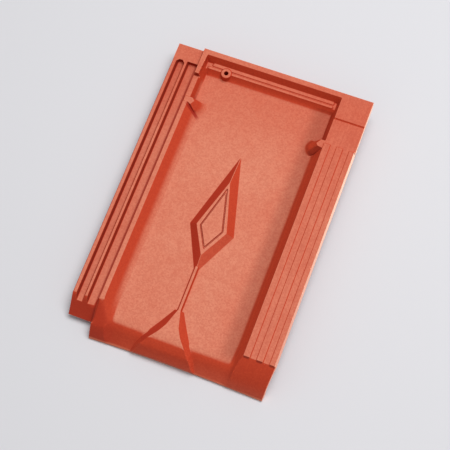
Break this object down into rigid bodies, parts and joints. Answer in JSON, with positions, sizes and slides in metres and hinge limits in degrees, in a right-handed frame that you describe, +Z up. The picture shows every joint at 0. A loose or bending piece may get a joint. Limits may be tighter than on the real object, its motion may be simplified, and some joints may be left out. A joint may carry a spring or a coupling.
{
  "type": "clay roof tile",
  "caption": "Interlocking fired-clay roof tile: shallow pan with a raised rhombus, grooved side lock, ribbed covering edge, rimmed head with a nail hole, rounded nose and hanging nibs below.",
  "frame": {"origin": "centre of the tile's bounding box in plan, on the level ground the tile lies on", "axes": "+Y along the tile from the nose to the head, +X from the grooved side lock to the covering edge, +Z up out of the weather face"},
  "size_m": [0.265, 0.398, 0.044],
  "materials": {
    "fired_clay": "unglazed matte red clay with a fine sandy grain"
  },
  "bodies": {
    "root": {"roof_tile": "fired_clay"}
  },
  "joints": []
}
